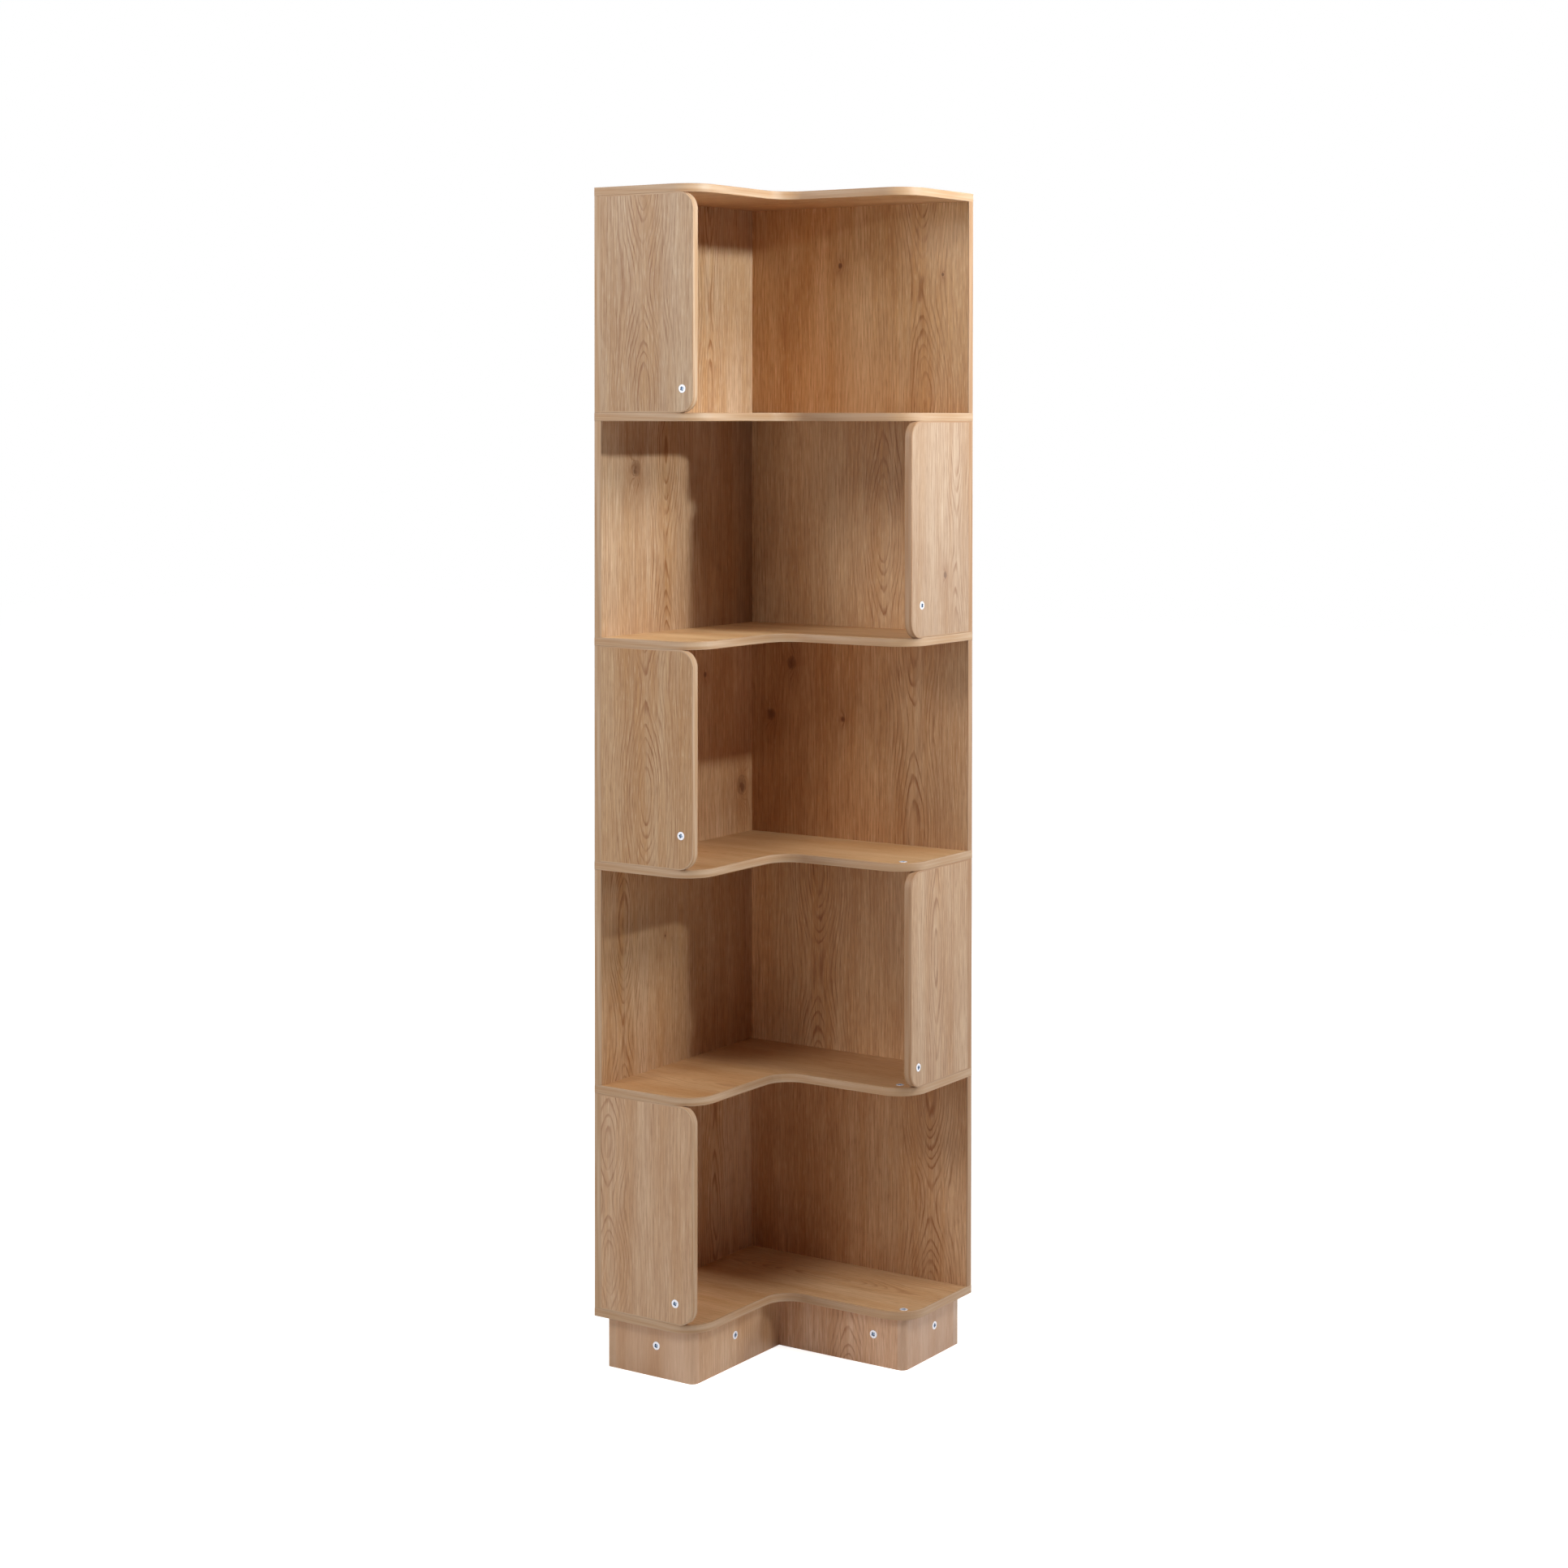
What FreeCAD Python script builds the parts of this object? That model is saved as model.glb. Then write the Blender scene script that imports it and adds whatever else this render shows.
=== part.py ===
import FreeCAD, Part
import math
import os

os.makedirs("parts", exist_ok=True)

# Corner bookcase: five tiers between L-shaped boards, standing on an L-shaped plinth.
# All sizes are in millimetres. +Z is up and the bookcase stands on z = 0.
# The left wing runs along the left wall, the right wing runs along the rear wall.

# Overall sizes
left_wing = 400.0          # length along the left wall, from the rear wall to the wing's end
right_wing = 400.0         # length along the rear wall, from the left wall to the wing's end
wing_depth = 180.0         # front to back of each wing
board_thickness = 12.0     # every board and panel is cut from the same sheet
tier_clear = 313.0         # clear height between two boards
tier_count = 5

# Outline of the L-shaped boards
front_corner_radius = 45.0   # the two outer front corners
inner_corner_radius = 40.0   # the hollow corner where the wings meet
edge_band = 2.0              # thickness of the edging on every exposed edge

# End panels, one in each tier, on the left and right wing in turn, the top one on the left
end_panel_setback = 5.0      # front edge of the panel behind the boards' fronts
end_panel_radius = 25.0      # rounded front corners

# Plinth
plinth_height = 75.0
plinth_wall_gap = 15.0       # rear boards stand this far in front of the walls
plinth_end_inset = 15.0      # ends lie this far inside the boards' ends
plinth_front_inset = 13.0    # fronts lie this far behind the boards' fronts
plinth_corner_land = 2.0     # flat left on the end boards' front edges, beside their rounded outer corners
plinth_corner_skin = 1.5     # sheet left between a rounded corner and the dowel inside it

# Cam connectors: a disc let into a face and, in the plinth, a bolt from it up into the bottom board.
# The end panels' discs lie over the boards' rounded corners, where a bolt would find no board.
cam_radius = 6.0
cam_skin = 3.0               # sheet left behind the disc
cam_proud = 0.4              # the disc's face stands out this far
cam_fit = 0.1                # radial clearance of the disc in its pocket
bolt_radius = 2.5
bolt_fit = 0.1               # radial clearance of the bolt in its bore
bolt_gap = 0.2               # between the bolt and the disc, and at the bore's blind end
bolt_skin = 3.0              # sheet left beyond the bolt's end

# Where the cams sit. Lists start at the top tier, or at the highest board with a cam
panel_cam_front = [24.0, 34.0, 26.0, 26.0, 36.0]     # behind the boards' fronts
panel_cam_height = [34.0, 47.0, 49.0, 29.0, 30.0]    # above the board that the panel stands on
plinth_cam_drop = 30.0                               # below the bottom board
plinth_end_left_cam = 67.0                           # from the plinth's front corner, left wing
plinth_front_left_cam = 103.0                        # from the same corner, on the front board
plinth_front_right_cam = 53.0                        # from the plinth's front corner, right wing
plinth_end_right_cam = 85.0                          # from the same corner, on the end board
deck_cam_end = [26.0, 31.0, 22.0]                    # in the top faces, from the right wing's end
deck_cam_front = [25.0, 26.0, 22.0]                  # behind the boards' fronts

# Dowels
dowel_radius = 3.0
dowel_fit = 0.1              # radial clearance
dowel_gap = 0.5              # at each blind end
dowel_grip = 12.0            # length inside a panel's edge
dowel_skin = 3.0             # sheet left beyond a dowel's end
wall_dowel_end = 70.0        # outer wall dowels, from the end of each wing
wall_dowel_corner = 70.0     # inner wall dowels, from the other wall
corner_dowel_inset = 80.0    # corner dowels, from a tier's foot and head
end_dowel_front = 60.0       # dowels in the end panels' feet and heads, behind their front edges
hidden_sides = 6             # flat sides of dowels, bolts and their holes, which nothing shows

# Levels and planes that follow from the sizes above
tier_pitch = tier_clear + board_thickness
board_bases = [plinth_height + tier_pitch * (tier_count - row) for row in range(tier_count + 1)]
wall_x = -right_wing / 2                 # plane of the left wall
wall_y = left_wing / 2                   # plane of the rear wall
plinth_front = wing_depth - plinth_front_inset
plinth_left_end = left_wing - plinth_end_inset
plinth_right_end = right_wing - plinth_end_inset
plinth_rear = plinth_wall_gap + board_thickness
plinth_corner_radius = board_thickness - plinth_corner_land
cam_depth = board_thickness - cam_skin
face_grip = board_thickness - dowel_skin    # a dowel's length inside the face of a sheet
up = FreeCAD.Vector(0, 0, 1)
down = FreeCAD.Vector(0, 0, -1)
to_right = FreeCAD.Vector(1, 0, 0)
to_left = FreeCAD.Vector(-1, 0, 0)
to_rear = FreeCAD.Vector(0, 1, 0)
to_front = FreeCAD.Vector(0, -1, 0)

pieces = {}    # node name: list of solids
cuts = {}      # node name: list of holes to cut in it


def place(across, out, height):
    """A point given by its distance from the left wall, from the rear wall and above the floor."""
    return FreeCAD.Vector(wall_x + across, wall_y - out, height)


def add_piece(name, solid):
    """Adds a solid to a node. Identical pieces share one node as separate solids."""
    pieces.setdefault(name, []).append(solid)


def drill(tool, *names):
    """Marks a hole to be cut in the named nodes."""
    for name in names:
        cuts.setdefault(name, []).append(tool)


def block(across, out, height):
    """A box from three (from, to) pairs in the directions of place()."""
    low = place(across[0], out[1], height[0])
    return Part.makeBox(across[1] - across[0], out[1] - out[0], height[1] - height[0], low)


def disc(radius, start, direction, length):
    return Part.makeCylinder(radius, length, start, direction)


def pin(radius, start, direction, length):
    """A dowel, a bolt or a hole for one. It has few sides, which keeps the facets of the part few."""
    side = to_right if abs(direction.z) > 0.5 else up
    other = direction.cross(side)
    corners = []
    for index in range(hidden_sides + 1):
        angle = 2 * math.pi * index / hidden_sides
        corners.append(start + side * (radius * math.cos(angle)) + other * (radius * math.sin(angle)))
    return Part.Face(Part.makePolygon(corners)).extrude(direction * length)


def rounded_face(corners, to_point):
    """A flat face from corners (a, b, radius), where to_point turns (a, b) into a point in space."""
    count = len(corners)
    starts = []
    middles = []
    ends = []
    for index, (a, b, radius) in enumerate(corners):
        before = corners[index - 1]
        after = corners[(index + 1) % count]
        here = FreeCAD.Vector(a, b, 0)
        back = FreeCAD.Vector(before[0] - a, before[1] - b, 0).normalize()
        ahead = FreeCAD.Vector(after[0] - a, after[1] - b, 0).normalize()
        half_angle = back.getAngle(ahead) / 2
        reach = radius / math.tan(half_angle)
        inward = (back + ahead).normalize()
        starts.append(here + back * reach)
        middles.append(here + inward * (radius / math.sin(half_angle) - radius))
        ends.append(here + ahead * reach)
    edges = []
    for index, (a, b, radius) in enumerate(corners):
        if radius > 0:
            arc_points = [to_point(p.x, p.y) for p in (starts[index], middles[index], ends[index])]
            edges.append(Part.Arc(*arc_points).toShape())
        tail = ends[index]
        head = starts[(index + 1) % count]
        edges.append(Part.LineSegment(to_point(tail.x, tail.y), to_point(head.x, head.y)).toShape())
    return Part.Face(Part.Wire(edges))


def board_outline(trim, base):
    """The L in plan, with its exposed edges drawn in by trim."""
    front = wing_depth - trim
    left_end = left_wing - trim
    right_end = right_wing - trim
    corners = [
        (0, 0, 0),
        (0, left_end, 0),
        (front, left_end, front_corner_radius - trim),
        (front, front, inner_corner_radius + trim),
        (right_end, front, front_corner_radius - trim),
        (right_end, 0, 0),
    ]
    return rounded_face(corners, lambda across, out: place(across, out, base))


def make_board(name, base):
    """An L-shaped board and the edging round its ends and fronts."""
    whole = board_outline(0, base).extrude(up * board_thickness)
    core = board_outline(edge_band, base).extrude(up * board_thickness)
    add_piece(name, core)
    add_piece(name + "_edge_band", whole.cut(core))


def wing_point(wing, along, inward, height):
    """A point by its distance from the wing's wall, inward from the wing's end, and height."""
    if wing == "left":
        return place(along, left_wing - inward, height)
    return place(right_wing - inward, along, height)


def wing_inward(wing):
    """The direction from a wing's end face into the bookcase."""
    return to_rear if wing == "left" else to_left


def panel_outline(wing, trim, foot, head):
    """An end panel seen from its end, with its foot, front and head drawn in by trim."""
    front = wing_depth - end_panel_setback - trim
    radius = end_panel_radius - trim
    corners = [
        (board_thickness, foot + trim, 0),
        (front, foot + trim, radius),
        (front, head - trim, radius),
        (board_thickness, head - trim, 0),
    ]
    return rounded_face(corners, lambda along, height: wing_point(wing, along, 0, height))


def make_end_panel(name, wing, foot, head):
    """An end panel and the edging round its foot, front and head."""
    through = wing_inward(wing) * board_thickness
    whole = panel_outline(wing, 0, foot, head).extrude(through)
    core = panel_outline(wing, edge_band, foot, head).extrude(through)
    add_piece(name, core)
    add_piece(name + "_edge_band", whole.cut(core))


def make_back_panels(tier, foot, head):
    """The two panels that close a tier against the walls, and the edging on their ends."""
    left_core_end = left_wing - edge_band
    right_core_end = right_wing - edge_band
    sheet = (0, board_thickness)
    height = (foot, head)
    add_piece(f"left_back_panel_{tier}", block(sheet, (0, left_core_end), height))
    add_piece("left_back_edge_bands", block(sheet, (left_core_end, left_wing), height))
    add_piece(f"right_back_panel_{tier}", block((board_thickness, right_core_end), sheet, height))
    add_piece("right_back_edge_bands", block((right_core_end, right_wing), sheet, height))


def make_plinth_end(wing):
    """The plinth's board at a wing's end, with its outer front corner rounded."""
    inner_face = plinth_end_inset + board_thickness
    corners = [
        (plinth_rear, inner_face, 0),
        (plinth_rear, plinth_end_inset, 0),
        (plinth_front, plinth_end_inset, plinth_corner_radius),
        (plinth_front, inner_face, 0),
    ]
    outline = rounded_face(corners, lambda along, inward: wing_point(wing, along, inward, 0))
    add_piece(f"plinth_end_{wing}", outline.extrude(up * plinth_height))


def make_plinth():
    """Six boards under the bottom board: two at the rear, two at the ends and two at the front."""
    height = (0, plinth_height)
    rear = (plinth_wall_gap, plinth_rear)
    fronts = (plinth_front - board_thickness, plinth_front)
    add_piece("plinth_rear_left", block(rear, (plinth_wall_gap, plinth_left_end), height))
    add_piece("plinth_rear_right", block((plinth_rear, plinth_right_end), rear, height))
    make_plinth_end("left")
    make_plinth_end("right")
    add_piece("plinth_front_left", block(fronts, (fronts[0], plinth_left_end - board_thickness), height))
    add_piece("plinth_front_right", block((plinth_front, plinth_right_end - board_thickness), fronts, height))


def cam_disc(node, face_point, inward, *hosts):
    """A disc let into a face, standing slightly proud of it."""
    start = face_point - inward * cam_proud
    depth = cam_proud + cam_depth
    add_piece(node, disc(cam_radius, start, inward, depth))
    drill(disc(cam_radius + cam_fit, start, inward, depth), *hosts)


def cam_joint(node, face_point, inward, distance, upright, board):
    """A disc in the face of an upright and a bolt from it into the board at that distance above."""
    cam_disc(node + "s", face_point, inward, upright)
    axis = face_point + inward * (board_thickness / 2)
    bolt_start = cam_radius + cam_fit + bolt_gap
    bolt_end = distance + board_thickness - bolt_skin
    add_piece(node + "_bolts", pin(bolt_radius, axis + up * bolt_start, up, bolt_end - bolt_start))
    drill(pin(bolt_radius + bolt_fit, axis, up, bolt_end + bolt_gap), upright, board)


def dowel(node, start, direction, length, *hosts):
    """A dowel from the point start, and its hole."""
    add_piece(node, pin(dowel_radius, start, direction, length))
    hole_start = start - direction * dowel_gap
    drill(pin(dowel_radius + dowel_fit, hole_start, direction, length + 2 * dowel_gap), *hosts)


def butt_dowel(node, seam, direction, *hosts, grip=face_grip):
    """A dowel from the face of one board, across the seam, into the edge of the next."""
    dowel(node, seam - direction * grip, direction, grip + dowel_grip, *hosts)


def join_end_panel(tier, wing, foot, head):
    """A disc in the outer face, and dowels to the boards below and above and to the back panel."""
    name = f"end_panel_{tier}"
    band = name + "_edge_band"
    middle = board_thickness / 2
    cam_along = wing_depth - panel_cam_front[tier - 1]
    cam_point = wing_point(wing, cam_along, 0, foot + panel_cam_height[tier - 1])
    cam_disc("panel_cams", cam_point, wing_inward(wing), name)
    dowel_along = wing_depth - end_panel_setback - end_dowel_front
    foot_seam = wing_point(wing, dowel_along, middle, foot)
    head_seam = wing_point(wing, dowel_along, middle, head)
    back_seam = wing_point(wing, board_thickness, middle, (foot + head) / 2)
    outward = to_right if wing == "left" else to_front
    butt_dowel("end_panel_dowels", foot_seam, up, board_names[tier], band, name)
    butt_dowel("end_panel_dowels", head_seam, down, board_names[tier - 1], band, name)
    butt_dowel("end_panel_dowels", back_seam, outward, f"{wing}_back_panel_{tier}", name)


def join_walls_to_board(row):
    """Dowels in the walls' edges; a shelf board's run right through it into the panels above and below."""
    middle = board_thickness / 2
    base = board_bases[row]
    top = base + board_thickness
    spots = [
        ("left", middle, left_wing - wall_dowel_end),
        ("left", middle, wall_dowel_corner),
        ("right", right_wing - wall_dowel_end, middle),
        ("right", wall_dowel_corner, middle),
    ]
    for wing, across, out in spots:
        above = f"{wing}_back_panel_{row}"
        below = f"{wing}_back_panel_{row + 1}"
        if row == 0:
            butt_dowel("wall_dowels", place(across, out, base), down, board_names[row], below)
        elif row == tier_count:
            butt_dowel("wall_dowels", place(across, out, top), up, board_names[row], above)
        else:
            foot = place(across, out, base - dowel_grip)
            dowel("wall_dowels", foot, up, board_thickness + 2 * dowel_grip, board_names[row], above, below)


def join_corner(tier, foot, head):
    """Two dowels from the left back panel into the end of the right one."""
    for height in (foot + corner_dowel_inset, head - corner_dowel_inset):
        seam = place(board_thickness, board_thickness / 2, height)
        butt_dowel("corner_dowels", seam, to_right, f"left_back_panel_{tier}", f"right_back_panel_{tier}")


def rounded_corner_grip():
    """How far a dowel at the middle of the plinth's front boards may run in behind a rounded corner."""
    hole_side = board_thickness / 2 - dowel_radius - dowel_fit
    aside = plinth_corner_radius - hole_side
    beyond = math.sqrt((plinth_corner_radius - plinth_corner_skin) ** 2 - aside ** 2)
    return plinth_corner_land + beyond - dowel_gap


def join_plinth():
    """A cam joint from each end and front board up into the bottom board, and a dowel in each corner."""
    height = plinth_height - plinth_cam_drop
    cam_spots = {
        "plinth_end_left": (plinth_front - plinth_end_left_cam, plinth_left_end, to_rear),
        "plinth_front_left": (plinth_front, plinth_left_end - plinth_front_left_cam, to_left),
        "plinth_front_right": (plinth_right_end - plinth_front_right_cam, plinth_front, to_rear),
        "plinth_end_right": (plinth_right_end, plinth_front - plinth_end_right_cam, to_left),
    }
    for name, (across, out, inward) in cam_spots.items():
        face_point = place(across, out, height)
        cam_joint("plinth_cam", face_point, inward, plinth_cam_drop, name, "bottom_board")
    middle = board_thickness / 2
    left_seam = plinth_left_end - board_thickness
    right_seam = plinth_right_end - board_thickness
    behind_corner = rounded_corner_grip()
    corners = [
        (plinth_rear, plinth_wall_gap + middle, to_right, "rear_left", "rear_right", face_grip),
        (plinth_rear, plinth_left_end - middle, to_right, "rear_left", "end_left", face_grip),
        (plinth_right_end - middle, plinth_rear, to_front, "rear_right", "end_right", face_grip),
        (plinth_front - middle, left_seam, to_rear, "end_left", "front_left", behind_corner),
        (right_seam, plinth_front - middle, to_left, "end_right", "front_right", behind_corner),
        (plinth_front, plinth_front - middle, to_right, "front_left", "front_right", face_grip),
    ]
    for across, out, direction, faced, butted, grip in corners:
        seam = place(across, out, plinth_height / 2)
        butt_dowel("plinth_dowels", seam, direction, f"plinth_{faced}", f"plinth_{butted}", grip=grip)


def add_deck_cams():
    """Discs in the top faces of the lowest boards, near the right wing's front corner."""
    for row, end, front in zip(range(tier_count - 2, tier_count + 1), deck_cam_end, deck_cam_front):
        top_point = place(right_wing - end, wing_depth - front, board_bases[row] + board_thickness)
        cam_disc("deck_cams", top_point, down, board_names[row])


board_names = ["top_board"] + [f"shelf_board_{row}" for row in range(1, tier_count)] + ["bottom_board"]
for row, name in enumerate(board_names):
    make_board(name, board_bases[row])
    join_walls_to_board(row)

for tier in range(1, tier_count + 1):
    foot = board_bases[tier] + board_thickness
    head = board_bases[tier - 1]
    wing = "left" if tier % 2 else "right"
    make_back_panels(tier, foot, head)
    make_end_panel(f"end_panel_{tier}", wing, foot, head)
    join_end_panel(tier, wing, foot, head)
    join_corner(tier, foot, head)

make_plinth()
join_plinth()
add_deck_cams()

for name, solids in pieces.items():
    if name in cuts:
        solids = [solid.cut(cuts[name]) for solid in solids]
    shape = solids[0] if len(solids) == 1 else Part.makeCompound(solids)
    shape.exportStep(f"parts/{name}.step")
    volume = shape.Volume / 1000
    print(f"{name}: {len(shape.Solids)} solid(s), {volume:.1f} cm3, valid {shape.isValid()}")
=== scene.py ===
import math
import bmesh
import bpy
import numpy as np
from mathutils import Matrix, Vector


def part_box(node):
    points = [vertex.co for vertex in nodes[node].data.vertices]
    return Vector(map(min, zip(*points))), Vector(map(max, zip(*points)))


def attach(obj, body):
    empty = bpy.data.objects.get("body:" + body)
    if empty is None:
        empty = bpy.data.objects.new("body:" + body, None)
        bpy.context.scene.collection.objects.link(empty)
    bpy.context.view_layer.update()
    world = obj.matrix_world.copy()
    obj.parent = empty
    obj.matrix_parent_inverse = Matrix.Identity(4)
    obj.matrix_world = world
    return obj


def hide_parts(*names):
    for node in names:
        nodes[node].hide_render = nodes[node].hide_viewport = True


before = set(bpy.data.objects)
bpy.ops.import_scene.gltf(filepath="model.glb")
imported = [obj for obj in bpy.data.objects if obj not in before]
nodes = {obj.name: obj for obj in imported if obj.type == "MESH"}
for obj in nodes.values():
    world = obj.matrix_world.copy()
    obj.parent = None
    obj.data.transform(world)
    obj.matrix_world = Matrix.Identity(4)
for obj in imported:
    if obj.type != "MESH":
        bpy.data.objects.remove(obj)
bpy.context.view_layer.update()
mm = 0.001
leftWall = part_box("top_board")[0].x  # the planes that the two walls of the room stand in
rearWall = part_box("top_board")[1].y
boardNames = ["top_board"] + [f"shelf_board_{row}" for row in range(1, 5)] + ["bottom_board"]
tierNumbers = range(1, 6)  # 1 is the top tier
print("frame loaded,", len(nodes), "nodes")


# Shapes: every surface is a grid of two parameters, or a section carried along a path

def roundedPath(corners, arcSteps):
    # A line through corners (a, b, radius), each turned by a circular arc. It gives the points, the unit
    # normals on the right-hand side of the direction of travel, and the length run so far.
    spots = np.array([corner[:2] for corner in corners], float)
    legs = np.diff(spots, axis=0)
    legs /= np.linalg.norm(legs, axis=1)[:, None]
    points, normals = [], []
    for index, (*_, radius) in enumerate(corners):
        arriving, leaving = legs[max(index - 1, 0)], legs[min(index, len(legs) - 1)]
        turn = math.atan2(arriving[0] * leaving[1] - arriving[1] * leaving[0], arriving @ leaving)
        steps = np.linspace(0, 1, arcSteps + 1 if radius else 1)
        angles = math.atan2(arriving[1], arriving[0]) + turn * steps
        sides = np.column_stack([np.sin(angles), -np.cos(angles)])
        start = spots[index] - arriving * radius * math.tan(abs(turn) / 2)
        hub = start - sides[0] * radius * np.sign(turn)
        points.append(hub + sides * radius * np.sign(turn))
        normals.append(sides)
    points, normals = np.vstack(points), np.vstack(normals)
    run = np.concatenate([[0], np.cumsum(np.linalg.norm(np.diff(points, axis=0), axis=1))])
    return points, normals, run


def edgingSection(thickness, width, arris, arcSteps):
    # A closed section in (depth, level): a strip of that thickness and width, flat behind, whose two outer
    # corners are quarter circles of radius arris.
    angles = np.linspace(0, math.pi / 2, arcSteps + 1)
    lower = np.column_stack([thickness - arris + arris * np.sin(angles), arris - arris * np.cos(angles)])
    upper = np.column_stack([lower[::-1, 0], width - lower[::-1, 1]])
    return np.vstack([[(0, 0)], lower, upper, [(0, width)]])


def sweep(path, section, toSpace):
    # Point (s, t) = path(s) + normal(s) * depth(t) in the plane of the path, raised by level(t) across it.
    points, normals, run = path
    depth, level = section.T
    flat = points[:, None] + normals[:, None] * depth[:, None]
    vertices = toSpace(flat[..., 0], flat[..., 1], np.broadcast_to(level, flat.shape[:2]))
    around = np.concatenate([[0], np.cumsum(np.linalg.norm(np.diff(section, axis=0), axis=1))])
    uvs = np.stack(np.broadcast_arrays(run[:, None], around), -1)
    index = np.arange(len(run) * len(depth)).reshape(len(run), -1)
    return np.stack(vertices, -1).reshape(-1, 3), tubeFaces(index), uvs.reshape(-1, 2)


def tubeFaces(index):
    # Quads between neighbouring rings of a grid of vertex numbers, and a flat cap on each end.
    ahead = np.roll(index, -1, 1)
    quads = np.stack([index[:-1], index[1:], ahead[1:], ahead[:-1]], -1).reshape(-1, 4)
    return quads.tolist() + [index[0].tolist(), index[-1].tolist()]


def addObject(name, data):
    holder = bpy.data.objects.new(name, data)
    bpy.context.scene.collection.objects.link(holder)
    return holder


def addPiece(name, parts, material, replaced, sharpAngle=30):
    # Joins parts (vertices, faces, uvs) into one mesh with its faces outwards, which stands for those nodes.
    vertices, faces, uvs = [], [], []
    for partVertices, partFaces, partUvs in parts:
        start = sum(map(len, vertices))
        vertices.append(partVertices)
        faces += [[start + corner for corner in face] for face in partFaces]
        uvs.append(partUvs)
    mesh = bpy.data.meshes.new(name)
    mesh.from_pydata(np.vstack(vertices).tolist(), [], faces)
    corners = np.zeros(len(mesh.loops), np.int32)
    mesh.loops.foreach_get("vertex_index", corners)
    cornerUvs = np.vstack(uvs)[corners].astype(np.float32)
    mesh.uv_layers.new(name="alongGrain").data.foreach_set("uv", cornerUvs.ravel())
    work = bmesh.new()
    work.from_mesh(mesh)
    bmesh.ops.recalc_face_normals(work, faces=work.faces)
    work.to_mesh(mesh)
    work.free()
    mesh.polygons.foreach_set("use_smooth", np.ones(len(mesh.polygons), bool))
    mesh.set_sharp_from_angle(angle=math.radians(sharpAngle))
    mesh.materials.append(material)
    piece = addObject(name, mesh)
    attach(piece, "root")
    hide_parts(*replaced)
    return piece


def solidsOf(node):
    # The box of each separate solid in a node: labels spread over triangles that share a corner until they
    # settle.
    mesh = nodes[node].data
    places = np.zeros(len(mesh.vertices) * 3, np.float32)
    mesh.vertices.foreach_get("co", places)
    places = places.reshape(-1, 3)
    same = np.unique(np.round(places, 6), axis=0, return_inverse=True)[1].ravel()
    corners = np.zeros(len(mesh.loops), np.int32)
    mesh.loops.foreach_get("vertex_index", corners)
    triangles = same[corners].reshape(-1, 3)
    label, spread = None, np.arange(same.max() + 1)
    while label is None or (spread != label).any():
        label, spread = spread, spread.copy()
        np.minimum.at(spread, triangles, label[triangles].min(1)[:, None])
    owners = label[same]
    return [(places[owners == one].min(0), places[owners == one].max(0)) for one in np.unique(owners)]


# Materials

def linear(hexColour):
    # sRGB hex to linear red, green, blue and alpha.
    parts = [int(hexColour[place:place + 2], 16) / 255 for place in (1, 3, 5)]
    return tuple(v / 12.92 if v <= 0.04045 else ((v + 0.055) / 1.055) ** 2.4 for v in parts) + (1.0,)


def newMaterial(name):
    material = bpy.data.materials.new(name)
    material.use_nodes = True
    return material, material.node_tree, material.node_tree.nodes["Principled BSDF"]


def addNode(tree, kind, inputs=(), **settings):
    # Adds a node. Inputs are values or other nodes, by place or by name, and a node stands for its first live
    # output.
    node = tree.nodes.new(kind if kind.startswith("Node") else "ShaderNode" + kind)
    for name, value in settings.items():
        setattr(node, name, value)
    for place, value in inputs.items() if isinstance(inputs, dict) else enumerate(inputs):
        if isinstance(value, bpy.types.Node):
            value = next(output for output in value.outputs if output.enabled)
        if isinstance(value, bpy.types.NodeSocket):
            tree.links.new(value, node.inputs[place])
        else:
            node.inputs[place].default_value = value
    return node


oakPrint = {
    "pale": "#E8CBAE", "tan": "#D3AD88", "amber": "#CB9350", "line": "#A06B42", "pore": "#8A5F3E",
    "fleck": "#F6E0C8", "knot": "#6F4225",
    "ringSpacing": 5.6,     # mm between two growth rings, straight across
    "unevenYears": 0.9,     # how far rings crowd and part, in rings
    "heartWidth": 10.0,     # mm, how blunt the arches' tips are
    "figureReach": 46.0,    # mm either side of the heart over which the arches fade into straight grain
    "straightLines": 0.35,  # how strong the ring lines are in straight grain, 1 being at the heart
    "wander": 18.0,         # mm, how far the heart line drifts sideways
    "unrest": 9.0,          # mm, slow waves of the rings
    "ragged": 2.2,          # mm, quick waves of the rings
    "layerDrift": 0.02,     # how much the print changes from face to face, per mm of depth
    # Noise patterns: mm across the grain, mm along it, and levels of finer detail. Fibres are drawn about
    # twice too wide and pores about five times, so that they show.
    "patterns": {
        "wander": (900, 170, 2), "unrest": (34, 150, 1), "ragged": (4.5, 28, 3), "knotEdge": (7, 10, 2),
        "years": (11, 1, 1), "fading": (13, 120, 1), "streaks": (9, 190, 2), "fibres": (2.1, 62, 2),
        "pores": (1.6, 19, 1), "tone": (46, 420, 2), "warmth": (15, 300, 2),
    },
    "knotWidth": 1.4, "knotLength": 2.4, "knotLift": 1.8,  # reach and height of its hump, of the knot's size
    "barkAcross": 2.0, "barkAlong": 4.2,  # how much sooner its bark ends than the hump, both squared
    "stainSpread": 0.25,    # how much wider than the hump its warm stain is, as one over the square
    "knotRagged": 1.1,      # how torn its outline is
    "solidKnot": 7.0,       # mm, knots up to this size are filled with bark
    "amberShare": 0.5, "stainShare": 0.45, "streakShare": 0.06, "fleckShare": 0.36, "lineShare": 0.94,
    "fibreShare": 0.46, "poreShare": 0.62, "knotShare": 0.85,
}
printNumbers = ("Across", "Along", "Depth", "Heart", "Oval", "Length", "Swell", "Seed", "Strength")
printPlaces = ("Knot 1", "Knot 2", "Knot 3", "PaintedLight")


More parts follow.
